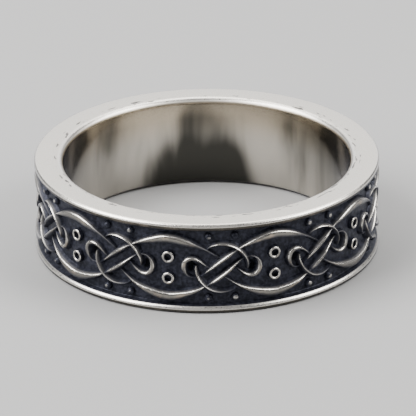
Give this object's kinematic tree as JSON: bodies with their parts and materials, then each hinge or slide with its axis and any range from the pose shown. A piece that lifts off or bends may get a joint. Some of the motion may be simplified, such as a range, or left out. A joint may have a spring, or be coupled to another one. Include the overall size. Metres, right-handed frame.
{
  "type": "knotwork band ring",
  "caption": "Cast metal finger ring: a plain band with two raised, beaded rims and a sunk, darkened field of interlaced knotwork running round the outside.",
  "frame": {"origin": "centre of the ring's lower face, on its axis, where the ring rests on its side", "axes": "+Z along the ring's axis, up when it rests; -Y towards the front, +X to the right"},
  "size_m": [0.0224, 0.0224, 0.0061],
  "materials": {
    "oxidised_silver": "satin silver on the rims and crests, blue-black oxidised in the sunk field, polished in the bore"
  },
  "bodies": {
    "root": {"ring_band": "oxidised_silver"}
  },
  "joints": []
}
